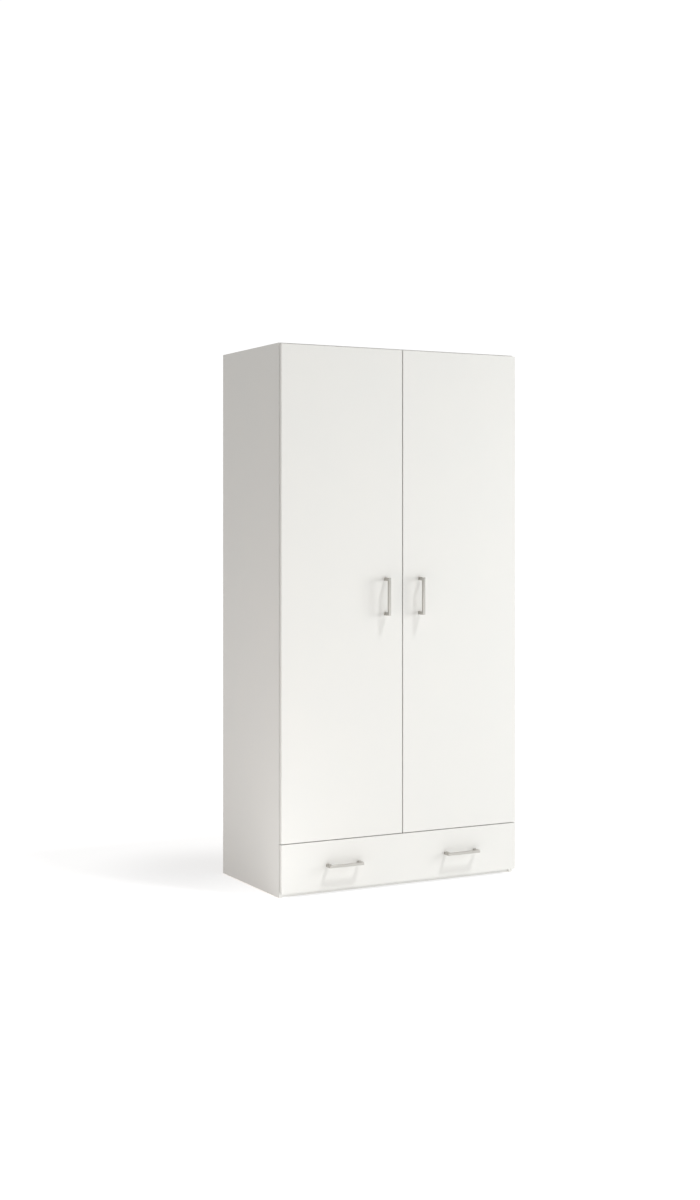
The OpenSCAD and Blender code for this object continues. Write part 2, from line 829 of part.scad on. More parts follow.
module hinge_arm_screws() {
    head_u = bridge_u + arm_t;
    color(nickel) at_hinges() for (y = [adjust_y, lock_y]) difference() {
        union() {
            rod_x(arm_screw_d, board_t + plate_t + slip, head_u + hair, y, 0);
            rod_x(arm_screw_head_d, head_u, head_u + arm_screw_head_t, y, 0);
        }
        translate([head_u + arm_screw_head_t, y, 0])
            cross_slot(arm_screw_head_d / 2, arm_screw_d / 5, arm_screw_head_t * 0.6);
    }
}

module at_cup_screws() {
    for (z = [-cup_screw_pitch / 2, cup_screw_pitch / 2])
        translate([cup_screw_u, front_rear_y, z]) children();
}

// Pressed cup with its flange on the door's rear face and the pin across its mouth
module hinge_cup() {
    pin_half = sqrt(pow(cup_r, 2) - pow(cup_u - pin_u + pin_d / 2, 2)) - hair;
    difference() {
        union() {
            round_bottomed(cup_r, cup_bend_r, front_rear_y - cup_depth, front_rear_y + hair);
            translate([0, front_rear_y + flange_t, 0]) rotate([90, 0, 0])
                linear_extrude(flange_t) flange_outline();
        }
        round_bottomed(cup_inner_r, cup_bend_r - cup_wall, cup_floor_y, front_y);
        at_cup_screws() rod_y(screw_d + 2 * fit, -over, flange_t + over, 0, 0);
    }
    rod_z(pin_d, -pin_half, pin_half, pin_u, pin_y);
}

// Cylinder along Y whose lower end at y0 has a rounded rim
module round_bottomed(r, bend, y0, y1) {
    translate([cup_u, y0, 0]) rotate([-90, 0, 0]) rotate_extrude() {
        square([r - bend, y1 - y0]);
        translate([0, bend]) square([r, y1 - y0 - bend]);
        intersection() {
            translate([r - bend, bend]) circle(bend);
            square([r, y1 - y0]);
        }
    }
}

// The flange leaves the strip between the cup and the door's edge bare
module flange_outline() {
    intersection() {
        union() {
            translate([cup_u, 0]) circle(cup_r + flange_rim);
            translate([cup_screw_u - ear_r, -cup_screw_pitch / 2])
                square([2 * ear_r, cup_screw_pitch]);
            for (z = [-cup_screw_pitch / 2, cup_screw_pitch / 2])
                translate([cup_screw_u, z]) circle(ear_r);
        }
        translate([cup_u - cup_r / 2, -cup_screw_pitch]) square([cup_d * 2, 2 * cup_screw_pitch]);
    }
}

module hinge_cups(side) {
    color(nickel) on_side(side) for (z = hinge_levels) translate([0, 0, z]) hinge_cup();
}

module hinge_cups_left() {
    hinge_cups(LEFT);
}

module hinge_cups_right() {
    hinge_cups(RIGHT);
}

cup_screw_len = front_bite + flange_t;

module cup_screws(side) {
    color(nickel) on_side(side) for (z = hinge_levels) translate([0, 0, z]) at_cup_screws()
        translate([0, flange_t + screw_d / 2 + hair, 0]) rotate([0, 0, -90])
            wood_screw(cup_screw_len);
}

module cup_screws_left() {
    cup_screws(LEFT);
}

module cup_screws_right() {
    cup_screws(RIGHT);
}

// ---------------------------------------------------------------- doors

door_handle_u = wardrobe_w / 2 - handle_offset;

module door(side) {
    color(melamine) on_side(side) difference() {
        soft_board([0, front_face_y, door_z0],
                   [(wardrobe_w - meeting_gap) / 2, front_rear_y, door_z1], edge_r);
        for (z = hinge_levels) translate([0, 0, z]) {
            rod_y(cup_d, front_rear_y - cup_depth - fit, front_rear_y + over, cup_u, 0);
            at_cup_screws() rod_y(screw_d + 2 * fit, -cup_screw_len, over, 0, 0);
        }
        translate([door_handle_u, front_face_y, handle_z]) at_handle_screws()
            rod_y(handle_screw_d + 2 * fit, -over, front_t + over, 0, 0);
    }
}

module door_left() {
    door(LEFT);
}

module door_right() {
    door(RIGHT);
}

// ---------------------------------------------------------------- handles

handle_thread = handle_reach - handle_bar - 6;

module at_handle_screws() {
    for (z = [-handle_pitch / 2, handle_pitch / 2]) translate([0, 0, z]) children();
}

// Side view of a handle, with Y as the outline's X: its feet end at 0
module bow_outline() {
    half = (handle_pitch + handle_foot) / 2;
    inner_half = half - handle_foot;
    inner_r = handle_r * 0.6;
    difference() {
        union() {
            translate([-handle_reach + handle_r, -half]) square([handle_reach - handle_r, 2 * half]);
            translate([-handle_reach, -half + handle_r])
                square([handle_reach, 2 * (half - handle_r)]);
            for (z = [-half + handle_r, half - handle_r])
                translate([-handle_reach + handle_r, z]) circle(handle_r);
        }
        translate([-handle_reach + handle_bar + inner_r, -inner_half])
            square([handle_reach, 2 * inner_half]);
        translate([-handle_reach + handle_bar, -inner_half + inner_r])
            square([handle_reach, 2 * (inner_half - inner_r)]);
        for (z = [-inner_half + inner_r, inner_half - inner_r])
            translate([-handle_reach + handle_bar + inner_r, z]) circle(inner_r);
    }
}

// End view of a handle: the two outer edges of the grip are rounded
module grip_outline() {
    half_w = handle_w / 2;
    translate([-half_w, -handle_reach + grip_edge_r]) square([handle_w, handle_reach]);
    translate([-half_w + grip_edge_r, -handle_reach])
        square([handle_w - 2 * grip_edge_r, handle_reach]);
    for (x = [-half_w + grip_edge_r, half_w - grip_edge_r])
        translate([x, -handle_reach + grip_edge_r]) circle(grip_edge_r);
}

// Upright handle: its feet stand on y = 0 and its grip is in front of them
module handle() {
    difference() {
        intersection() {
            rotate([90, 0, 90]) linear_extrude(handle_w, center = true) bow_outline();
            linear_extrude(handle_pitch + 2 * handle_foot, center = true) grip_outline();
        }
        at_handle_screws() rod_y(handle_screw_d + 2 * fit, -handle_thread, over, 0, 0);
    }
}

// The two screws of a handle, from behind a front of thickness front_t
module handle_screw_pair() {
    at_handle_screws() translate([0, front_t + handle_screw_d / 2 + hair, 0])
        rotate([0, 0, -90])
            wood_screw(front_t + handle_thread - 1, handle_screw_d, handle_screw_d / 2);
}

module at_door_handle(side) {
    on_side(side) translate([door_handle_u, front_face_y, handle_z]) children();
}

module at_drawer_handle(side) {
    translate([side * drawer_handle_x, front_face_y, drawer_handle_z]) rotate([0, 90, 0])
        children();
}

module door_handle_left() {
    color(nickel) at_door_handle(LEFT) handle();
}

module door_handle_right() {
    color(nickel) at_door_handle(RIGHT) handle();
}

module handle_screws_left() {
    color(steel) at_door_handle(LEFT) handle_screw_pair();
}

module handle_screws_right() {
    color(steel) at_door_handle(RIGHT) handle_screw_pair();
}

module drawer_handle_left() {
    color(nickel) at_drawer_handle(LEFT) handle();
}

module drawer_handle_right() {
    color(nickel) at_drawer_handle(RIGHT) handle();
}

module drawer_handle_screws() {
    color(steel) for (side = [LEFT, RIGHT]) at_drawer_handle(side) handle_screw_pair();
}

// ---------------------------------------------------------------- drawer box

drawer_z1 = drawer_z0 + drawer_h;
drawer_skin = 2;
drawer_cam_d = 12;
drawer_cam_len = drawer_t - drawer_skin;
drawer_cam_set = 24;
drawer_cam_levels = [drawer_z0 + drawer_h * 0.35, drawer_z0 + drawer_h * 0.8];
back_screw_levels = drawer_cam_levels;
back_screw_len = 38;

module drawer_side() {
    difference() {
        block([drawer_u, front_rear_y, drawer_z0], [drawer_inner_u, drawer_y1, drawer_z1]);
        block([drawer_inner_u - drawer_groove_d, front_rear_y - over, bottom_z0 - slip],
              [drawer_inner_u + over, drawer_y1 + over, bottom_z1 + slip]);
        for (z = drawer_cam_levels) {
            rod_y(bolt_bore_d, front_rear_y - over, front_rear_y + drawer_cam_set,
                  drawer_u + drawer_t / 2, z);
            rod_x(drawer_cam_d + 2 * fit, drawer_inner_u - drawer_cam_len - 2 * slip,
                  drawer_inner_u + over, front_rear_y + drawer_cam_set, z);
        }
        for (z = back_screw_levels)
            rod_x(screw_d + 2 * fit, drawer_u - over, drawer_inner_u + over, drawer_back_y, z);
        at_drawer_rail_screws() rod_x(screw_d + 2 * fit, -over, drawer_t - drawer_skin, 0, 0);
    }
}

module drawer_side_left() {
    color(melamine) on_side(LEFT) drawer_side();
}

module drawer_side_right() {
    color(melamine) on_side(RIGHT) drawer_side();
}

drawer_back_y = drawer_y1 - drawer_t / 2;

module drawer_back() {
    color(melamine) difference() {
        block([-drawer_inner_w / 2, drawer_y1 - drawer_t, bottom_z1 + slip],
              [drawer_inner_w / 2, drawer_y1, drawer_z1]);
        on_both_sides() for (z = back_screw_levels)
            rod_x(screw_d + 2 * fit, drawer_inner_u - over,
                  drawer_u + back_screw_len + slip, drawer_back_y, z);
    }
}

module drawer_bottom() {
    lap = drawer_groove_d - 0.5;
    color("white") block([-drawer_inner_w / 2 - lap, front_rear_y - lap, bottom_z0],
                         [drawer_inner_w / 2 + lap, drawer_y1, bottom_z1]);
}

// Channel that carries the middle of the drawer bottom
module drawer_stiffener() {
    half_w = 15;
    lift = 3;
    wall = 2;
    color("white") difference() {
        block([-half_w, front_rear_y + slip, drawer_z0 + lift],
              [half_w, drawer_y1 - drawer_t, bottom_z0]);
        block([-half_w + wall, front_rear_y - over, drawer_z0],
              [half_w - wall, drawer_y1, bottom_z0 - wall]);
    }
}

module drawer_front() {
    color(melamine) difference() {
        soft_board([-wardrobe_w / 2, front_face_y, drawer_front_lift],
                   [wardrobe_w / 2, front_rear_y, drawer_front_z1], edge_r);
        block([-drawer_inner_w / 2 - drawer_groove_d, front_rear_y - drawer_groove_d,
               bottom_z0 - slip],
              [drawer_inner_w / 2 + drawer_groove_d, front_rear_y + over, bottom_z1 + slip]);
        on_both_sides() for (z = drawer_cam_levels)
            rod_y(bolt_d + 2 * fit, front_rear_y - front_bite - slip, front_rear_y + over,
                  drawer_u + drawer_t / 2, z);
        for (side = [LEFT, RIGHT]) at_drawer_handle(side) at_handle_screws()
            rod_y(handle_screw_d + 2 * fit, -over, front_t + over, 0, 0);
    }
}

module drawer_cam_bolts() {
    color(steel) on_both_sides() for (z = drawer_cam_levels)
        translate([drawer_u + drawer_t / 2, front_rear_y, z]) rotate([0, 0, 90])
            cam_bolt(front_bite, drawer_cam_set);
}

module drawer_cam_nuts() {
    face = drawer_inner_u - slip;
    color("darkgray") on_both_sides() for (z = drawer_cam_levels)
        translate([0, front_rear_y + drawer_cam_set, z]) difference() {
            rod_x(drawer_cam_d, face - drawer_cam_len, face, 0, 0);
            rod_y(bolt_bore_d, -drawer_cam_d, bolt_head_t + 1, drawer_u + drawer_t / 2, 0);
            translate([face, 0, 0]) cross_slot(drawer_cam_d / 2, cam_slot_w, cam_slot_depth);
        }
}

module drawer_back_screws() {
    color(steel) on_both_sides() for (z = back_screw_levels)
        translate([drawer_u - screw_d / 2 - hair, drawer_back_y, z])
            wood_screw(back_screw_len);
}

// ---------------------------------------------------------------- runners

lip_h = 3;
rail_top_y0 = front_roller_y + roller_d;
drawer_rail_y0 = front_rear_y + rail_setback;
rivet_t = 0.6;
boss_d = axle_d + 4;
// The rail's screws sit above the path of the drawer's axle, and their low heads
// stay out of the roller's lane
runner_screw_z = rear_roller_z + boss_d / 2 + screw_d + slip;
runner_head_t = lane_u - board_t - steel_t - slip - hair;

// Distance along Y between a roller that has just met a stop and that stop
stop_r = 3;
stop_reach = slip + sqrt(pow(roller_d / 2 + stop_r, 2) - pow(roller_d / 2 + slip / 2, 2));

// Pressed ridge across the lane that stops the drawer's roller
module roller_stop(y) {
    intersection() {
        rod_x(2 * stop_r, board_t, lane_u + lane_w + steel_t, y, tread_z);
        block([board_t, y - stop_r, runner_z],
              [lane_u + lane_w + steel_t, y + stop_r, tread_z + stop_r]);
    }
}

module at_runner_screws() {
    for (y = [rail_y0 + runner_screw_inset, rail_y1 - runner_screw_inset])
        translate([board_t, y, runner_screw_z]) children();
}

// Cabinet rail: a channel along the side panel with a roller axle at its front
module cabinet_rail() {
    difference() {
        union() {
            block([board_t, rail_y0, runner_z], [board_t + steel_t, rail_y1, runner_z + rail_h]);
            block([board_t, rail_y0, runner_z], [lane_u + lane_w + steel_t, rail_y1, tread_z]);
            block([lane_u + lane_w, rail_y0, runner_z],
                  [lane_u + lane_w + steel_t, rail_y1, tread_z + lip_h]);
            block([board_t, rail_top_y0, runner_z + rail_h - steel_t],
                  [lane_u + roller_w, rail_y1, runner_z + rail_h]);
            roller_stop(rear_roller_y - drawer_travel - stop_reach);
            roller_stop(rear_roller_y + stop_reach);
            rod_x(boss_d, board_t, lane_u - slip, front_roller_y, front_roller_z);
            rod_x(axle_d, board_t, lane_u + roller_w + slip, front_roller_y, front_roller_z);
            rod_x(boss_d, lane_u + roller_w + slip - hair, lane_u + roller_w + slip + steel_t,
                  front_roller_y, front_roller_z);
        }
        at_runner_screws() rod_x(screw_d + 2 * fit, -over, steel_t + over, 0, 0);
    }
}

module cabinet_rail_left() {
    color("white") on_side(LEFT) cabinet_rail();
}

module cabinet_rail_right() {
    color("white") on_side(RIGHT) cabinet_rail();
}

module runner_screws() {
    color(nickel) on_both_sides() at_runner_screws()
        translate([steel_t + runner_head_t + hair, 0, 0]) mirror([1, 0, 0])
            wood_screw(face_bite + steel_t, head_t = runner_head_t);
}

module roller(y, z) {
    rim = 2.5;
    groove = 0.5;
    difference() {
        rod_x(roller_d, lane_u, lane_u + roller_w, y, z);
        rod_x(axle_d + 2 * running_fit, lane_u - over, lane_u + roller_w + over, y, z);
        for (u = [lane_u - hair, lane_u + roller_w - groove]) difference() {
            rod_x(roller_d - 2 * rim, u, u + groove + hair, y, z);
            rod_x(boss_d, u - over, u + groove + over, y, z);
        }
    }
}

module cabinet_rollers() {
    color("snow") on_both_sides() roller(front_roller_y, front_roller_z);
}

module drawer_rollers() {
    color("snow") on_both_sides() roller(rear_roller_y, rear_roller_z);
}

module at_drawer_rail_screws() {
    for (y = [drawer_rail_y0 + runner_screw_inset, drawer_y1 - runner_screw_inset])
        translate([drawer_u, y, (drawer_z0 + slide_z) / 2]) children();
}

// Drawer rail: an angle under the drawer side, a tread that rides on the cabinet
// roller, and a roller axle at its rear
module drawer_rail() {
    y0 = drawer_rail_y0;
    web_u = drawer_u - steel_t;
    difference() {
        union() {
            block([web_u, y0, drawer_z0 - steel_t], [drawer_u, drawer_y1, slide_z + steel_t]);
            block([web_u, y0, drawer_z0 - steel_t], [drawer_inner_u, drawer_y1, drawer_z0]);
            block([lane_u, y0, slide_z], [drawer_u, drawer_y1, slide_z + steel_t]);
            rod_x(boss_d, lane_u + roller_w + slip, drawer_u, rear_roller_y, rear_roller_z);
            rod_x(axle_d, lane_u - slip, drawer_u, rear_roller_y, rear_roller_z);
            rod_x(boss_d, lane_u - slip - rivet_t, lane_u - slip, rear_roller_y, rear_roller_z);
        }
        at_drawer_rail_screws() rod_x(screw_d + 2 * fit, -steel_t - over, over, 0, 0);
    }
}

module drawer_rail_left() {
    color("white") on_side(LEFT) drawer_rail();
}

module drawer_rail_right() {
    color("white") on_side(RIGHT) drawer_rail();
}

module drawer_rail_screws() {
    color(nickel) on_both_sides() at_drawer_rail_screws()
        translate([-steel_t - runner_head_t - hair, 0, 0])
            wood_screw(drawer_t - drawer_skin + steel_t, head_t = runner_head_t);
}

// ---------------------------------------------------------------- drawing

side_panel_left();
side_panel_right();
top_panel();
compartment_floor();
hat_shelf();
plinth_front();
plinth_rear();
back_panel_left();
back_panel_right();
back_joint_strip();
hanging_rail();
rail_sockets();
rail_socket_screws();
shelf_pins();
cam_nuts();
cam_bolts();
dowels();
floor_glides();
back_panel_nails();
wall_brackets();
wall_bracket_screws();
bumper_pads();
hinge_plates();
hinge_plate_screws();
hinge_arms();
hinge_arm_screws();
cabinet_rail_left();
cabinet_rail_right();
runner_screws();
cabinet_rollers();
door_left();
door_handle_left();
hinge_cups_left();
cup_screws_left();
handle_screws_left();
door_right();
door_handle_right();
hinge_cups_right();
cup_screws_right();
handle_screws_right();
drawer_front();
drawer_side_left();
drawer_side_right();
drawer_back();
drawer_bottom();
drawer_stiffener();
drawer_handle_left();
drawer_handle_right();
drawer_handle_screws();
drawer_rail_left();
drawer_rail_right();
drawer_rail_screws();
drawer_cam_nuts();
drawer_cam_bolts();
drawer_back_screws();
drawer_rollers();
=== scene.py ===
from math import radians

import bpy
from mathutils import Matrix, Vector


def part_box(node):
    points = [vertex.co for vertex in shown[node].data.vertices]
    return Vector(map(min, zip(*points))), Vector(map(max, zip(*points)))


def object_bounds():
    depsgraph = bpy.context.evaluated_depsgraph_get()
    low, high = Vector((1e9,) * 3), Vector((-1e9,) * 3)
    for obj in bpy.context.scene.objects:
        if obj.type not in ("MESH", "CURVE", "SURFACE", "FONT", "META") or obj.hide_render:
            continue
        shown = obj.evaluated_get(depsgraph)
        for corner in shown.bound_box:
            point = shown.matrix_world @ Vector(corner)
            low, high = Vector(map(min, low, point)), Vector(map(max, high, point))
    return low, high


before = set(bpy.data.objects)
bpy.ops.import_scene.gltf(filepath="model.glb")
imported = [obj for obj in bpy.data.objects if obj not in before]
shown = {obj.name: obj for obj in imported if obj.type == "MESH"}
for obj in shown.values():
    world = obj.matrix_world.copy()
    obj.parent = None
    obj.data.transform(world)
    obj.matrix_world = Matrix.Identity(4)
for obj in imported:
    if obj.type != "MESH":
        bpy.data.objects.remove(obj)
cad_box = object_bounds()
mm = 0.001


# ---------------------------------------------------------------- small tools


def linear(hex_colour):
    """sRGB hex to the linear colour that shaders take."""
    parts = [int(hex_colour[i : i + 2], 16) / 255 for i in (1, 3, 5)]
    return tuple(c / 12.92 if c < 0.04045 else ((c + 0.055) / 1.055) ** 2.4 for c in parts) + (1,)


def feed(tree, node, inputs):
    """Values and links into a node, by socket. A node given as a value is its first live output."""
    for socket, value in inputs.items():
        if isinstance(value, bpy.types.Node):
            value = next(output for output in value.outputs if output.enabled)
        if isinstance(value, bpy.types.NodeSocket):
            tree.links.new(value, node.inputs[socket])
        else:
            node.inputs[socket].default_value = value


def add(tree, kind, inputs=None, **settings):
    """A new shader node: settings are its properties, and inputs are what feed takes."""
    node = tree.nodes.new(f"ShaderNode{kind}")
    for key, value in settings.items():
        setattr(node, key, value)
    feed(tree, node, inputs or {})
    return node


def finish(name, **sockets):
    """A material with one Principled shader: its tree, the shader and the place on the piece."""
    made = bpy.data.materials.new(name)
    made.use_nodes = True
    tree = made.node_tree
    shader = tree.nodes["Principled BSDF"]
    feed(tree, shader, {socket.replace("_", " "): value for socket, value in sockets.items()})
    return made, tree, shader, add(tree, "TexCoord")


def give(material, *names):
    """The named CAD nodes get this material."""
    for name in names:
        mesh = shown[name].data
        mesh.materials.clear()
        mesh.materials.append(material)


def both_sides(*names):
    """The left and right nodes of each name."""
    return [f"{name}_{side}" for name in names for side in ("left", "right")]


# ---------------------------------------------------------------- board finishes
#
# A board tells its material where its corners are, which way its thickness runs, and
# which of its edges were left raw when the others were edge-banded.

BAND = 0.8 * mm  # thickness of the ABS edge band
SEAM = 0.12 * mm  # half the width of the glue seam beside it
SKIN = 0.6 * mm  # deeper in a board than this, a surface is the raw wall of a bore or groove
SQUARE_ON = 0.7  # a face looks along an axis where the cosine between them is above this


def mark_board(name, thin_axis, raw_low=(0, 0, 0), raw_high=(0, 0, 0)):
    """raw_low and raw_high have 1 for each axis along which the low or high edge is raw."""
    board = shown[name]
    low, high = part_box(name)
    board["corner_low"] = list(low)
    board["corner_high"] = list(high)
    board["thickness_axis"] = [float(axis == thin_axis) for axis in "XYZ"]
    board["raw_low"] = [float(v) for v in raw_low]
    board["raw_high"] = [float(v) for v in raw_high]


def least(tree, vector):
    """The least of a vector's three parts."""
    parts = add(tree, "SeparateXYZ", {0: vector}).outputs
    of_two = add(tree, "Math", {0: parts[0], 1: parts[1]}, operation="MINIMUM")
    return add(tree, "Math", {0: of_two, 1: parts[2]}, operation="MINIMUM")


def board_places(tree, place):
    """(1 on raw edges and inside bores and grooves, 1 on the seam beside an edge band)."""
    here, normal = place.outputs["Object"], place.outputs["Normal"]
    marks = ("thickness_axis", "raw_low", "raw_high", "corner_low", "corner_high")
    axis, raw_low, raw_high, corner_low, corner_high = [
        add(tree, "Attribute", attribute_type="OBJECT", attribute_name=mark).outputs["Vector"]
        for mark in marks]
    from_low = add(tree, "VectorMath", {0: here, 1: corner_low}, operation="SUBTRACT")
    from_high = add(tree, "VectorMath", {0: corner_high, 1: here}, operation="SUBTRACT")

    nearest = add(tree, "VectorMath", {0: from_low, 1: from_high}, operation="MINIMUM")
    inside = add(tree, "Math", {0: least(tree, nearest), 1: SKIN}, operation="GREATER_THAN")
    turned = add(tree, "VectorMath", {0: normal, 1: (-1, -1, -1)}, operation="MULTIPLY")
    upward = add(tree, "VectorMath", {0: normal, 1: (0, 0, 0)}, operation="MAXIMUM")
    downward = add(tree, "VectorMath", {0: turned, 1: (0, 0, 0)}, operation="MAXIMUM")
    faces_high = add(tree, "VectorMath", {0: upward, 1: raw_high}, operation="DOT_PRODUCT")
    faces_low = add(tree, "VectorMath", {0: downward, 1: raw_low}, operation="DOT_PRODUCT")
    faces_raw = add(tree, "Math", {0: faces_high, 1: faces_low}, operation="ADD")
    sawn = add(tree, "Math", {0: faces_raw, 1: SQUARE_ON}, operation="GREATER_THAN")
    raw = add(tree, "Math", {0: inside, 1: sawn}, operation="MAXIMUM")

    # distance to the nearest banded edge: the thickness and the raw edges are pushed out of reach
    past_low = add(tree, "VectorMath", {0: axis, 1: raw_low}, operation="ADD")
    past_high = add(tree, "VectorMath", {0: axis, 1: raw_high}, operation="ADD")
    low_edges = add(tree, "VectorMath", {0: from_low, 1: past_low}, operation="ADD")
    high_edges = add(tree, "VectorMath", {0: from_high, 1: past_high}, operation="ADD")
    edges = add(tree, "VectorMath", {0: low_edges, 1: high_edges}, operation="MINIMUM")
    off_band = add(tree, "Math", {0: least(tree, edges), 1: BAND}, operation="SUBTRACT")
    beside = add(tree, "Math", {0: off_band}, operation="ABSOLUTE")
    on_seam = add(tree, "Math", {0: beside, 1: SEAM}, operation="LESS_THAN")
    through = add(tree, "VectorMath", {0: normal, 1: axis}, operation="DOT_PRODUCT")
    either_way = add(tree, "Math", {0: through}, operation="ABSOLUTE")
    on_face = add(tree, "Math", {0: either_way, 1: SQUARE_ON}, operation="GREATER_THAN")
    seam = add(tree, "Math", {0: on_seam, 1: on_face}, operation="MULTIPLY")
    return raw, seam


def melamine_faced_board():
    """Particle board under melamine paper, which a pearl-textured steel plate pressed to a satin
    skin. The edges carry ABS band, whose glue seam is a hairline beside each edge, and sawn or
    drilled places show the chips of the core."""
    made, tree, shader, place = finish("melamine_faced_board", IOR=1.5)
    here = place.outputs["Object"]
    raw, seam = board_places(tree, place)

    # the paper: even white, with a barely warmer cloud every 150 mm
    cloud = add(tree, "TexNoise", {"Vector": here, "Scale": 1 / (150 * mm), "Detail": 3})
    paper = add(tree, "Mix", {"Factor": cloud, 6: linear("#E5E6E3"), 7: linear("#E8E8E4")},
                data_type="RGBA")
    seamed = add(tree, "Mix", {"Factor": seam, 6: paper, 7: linear("#C9C8C2")}, data_type="RGBA")

    # the core: chips of 2 to 3 mm in glue, from straw to bark brown
    chips = add(tree, "TexVoronoi", {"Vector": here, "Scale": 1 / (2.6 * mm), "Randomness": 1})
    tint = add(tree, "SeparateColor", {0: chips.outputs["Color"]})
    core = add(tree, "ValToRGB", {0: tint})
    core.color_ramp.elements[0].color = linear("#9C7B52")
    core.color_ramp.elements[1].color = linear("#D8BF95")
    colour = add(tree, "Mix", {"Factor": raw, 6: seamed, 7: core}, data_type="RGBA")

    # satin skin, a little polished by its press plate in places; the sawn core is dull
    sheen = add(tree, "TexNoise", {"Vector": here, "Scale": 1 / (40 * mm), "Detail": 2})
    satin = add(tree, "MapRange", {"Value": sheen, "To Min": 0.40, "To Max": 0.48})
    roughness = add(tree, "Mix", {"Factor": raw, 2: satin, 3: 0.9}, data_type="FLOAT")

    # pearl texture: the real 0.4 mm grains, drawn at 1.2 mm so that they show
    pearl = add(tree, "TexNoise", {"Vector": here, "Scale": 1 / (1.2 * mm), "Detail": 1})
    groove = add(tree, "Mix", {"Factor": seam, 2: pearl, 3: 0}, data_type="FLOAT")
    relief = add(tree, "Mix", {"Factor": raw, 2: groove, 3: chips}, data_type="FLOAT")
    bump = add(tree, "Bump", {"Height": relief, "Strength": 0.25, "Distance": 0.06 * mm})
    feed(tree, shader, {"Base Color": colour, "Roughness": roughness, "Normal": bump})
    return made


def lacquered_hardboard():
    """Wet-pressed hardboard: white roller lacquer with a faint stipple on its good face, and
    behind it the bare brown fibre with the print of the press's wire screen."""
    made, tree, shader, place = finish("lacquered_hardboard", IOR=1.5)
    here = place.outputs["Object"]
    raw, _ = board_places(tree, place)
    cloud = add(tree, "TexNoise", {"Vector": here, "Scale": 1 / (90 * mm), "Detail": 3})
    lacquer = add(tree, "Mix", {"Factor": cloud, 6: linear("#E3E4E1"), 7: linear("#E7E7E3")},
                  data_type="RGBA")
    fibres = add(tree, "TexNoise",
                 {"Vector": here, "Scale": 1 / (5 * mm), "Detail": 6, "Roughness": 0.7})
    bare = add(tree, "ValToRGB", {0: fibres})
    bare.color_ramp.elements[0].position, bare.color_ramp.elements[1].position = 0.3, 0.7
    bare.color_ramp.elements[0].color = linear("#7A5737")
    bare.color_ramp.elements[1].color = linear("#A07C55")
    colour = add(tree, "Mix", {"Factor": raw, 6: lacquer, 7: bare}, data_type="RGBA")
    roughness = add(tree, "Mix", {"Factor": raw, 2: 0.5, 3: 0.85}, data_type="FLOAT")
    # wire screen of 1 mm pitch, drawn at 2 mm, and lacquer stipple of 1 mm
    screen = add(tree, "TexVoronoi", {"Vector": here, "Scale": 1 / (2 * mm), "Randomness": 0.15})
    stipple = add(tree, "TexNoise", {"Vector": here, "Scale": 1 / (1 * mm), "Detail": 1})
    relief = add(tree, "Mix", {"Factor": raw, 2: stipple, 3: screen}, data_type="FLOAT")
    bump = add(tree, "Bump", {"Height": relief, "Strength": 0.35, "Distance": 0.08 * mm})
    feed(tree, shader, {"Base Color": colour, "Roughness": roughness, "Normal": bump})
    return made


# ---------------------------------------------------------------- metal and plastic finishes


def streaks(tree, here, along, pitch, stretch=60):
    """Fine scratches that run along one axis: pitch apart and stretch times as long."""
    size = [1 / (pitch * (stretch if axis == along else 1)) for axis in "XYZ"]
    scaled = add(tree, "VectorMath", {0: here, 1: size}, operation="MULTIPLY")
    return add(tree, "TexNoise", {"Vector": scaled, "Scale": 1, "Detail": 3})


def satin_nickel(name, along):
    """Die-cast bow, brushed along its length and nickel-plated matt: long soft streaks that
    spread the highlight across the bar."""
    made, tree, shader, place = finish(name, Metallic=1.0)
    brushed = streaks(tree, place.outputs["Object"], along, 0.5 * mm)
    colour = add(tree, "Mix", {"Factor": brushed, 6: linear("#B5B3AE"), 7: linear("#C9C7C2")},
                 data_type="RGBA")
    satin = add(tree, "MapRange", {"Value": brushed, "To Min": 0.28, "To Max": 0.42})
    bump = add(tree, "Bump", {"Height": brushed, "Strength": 0.25, "Distance": 0.03 * mm})
    feed(tree, shader, {"Base Color": colour, "Roughness": satin, "Normal": bump})
    return made


def chromed_tube():
    """Steel tube, polished round and chromed: near mirror, with the draw lines of the mill."""
    made, tree, shader, place = finish("chromed_tube", Metallic=1.0)
    drawn = streaks(tree, place.outputs["Object"], "X", 0.8 * mm, 200)
    colour = add(tree, "Mix", {"Factor": drawn, 6: linear("#CFD0D1"), 7: linear("#DEDFE0")},
                 data_type="RGBA")
    polish = add(tree, "MapRange", {"Value": drawn, "To Min": 0.07, "To Max": 0.14})
    feed(tree, shader, {"Base Color": colour, "Roughness": polish})
    return made


def plated_metal(name, dark, light, smooth, rough, grain):
    """Metal with a thin bright plating: its tone drifts over a few millimetres, and the sheet's
    or the casting's own grain shows through as a fine bump."""
    made, tree, shader, place = finish(name, Metallic=1.0)
    here = place.outputs["Object"]
    drift = add(tree, "TexNoise", {"Vector": here, "Scale": 1 / (9 * mm), "Detail": 4})
    colour = add(tree, "Mix", {"Factor": drift, 6: linear(dark), 7: linear(light)},
                 data_type="RGBA")
    gloss = add(tree, "MapRange", {"Value": drift, "To Min": smooth, "To Max": rough})
    fine = add(tree, "TexNoise", {"Vector": here, "Scale": 1 / grain, "Detail": 2})
    bump = add(tree, "Bump", {"Height": fine, "Strength": 0.3, "Distance": 0.05 * mm})
    feed(tree, shader, {"Base Color": colour, "Roughness": gloss, "Normal": bump})
    return made


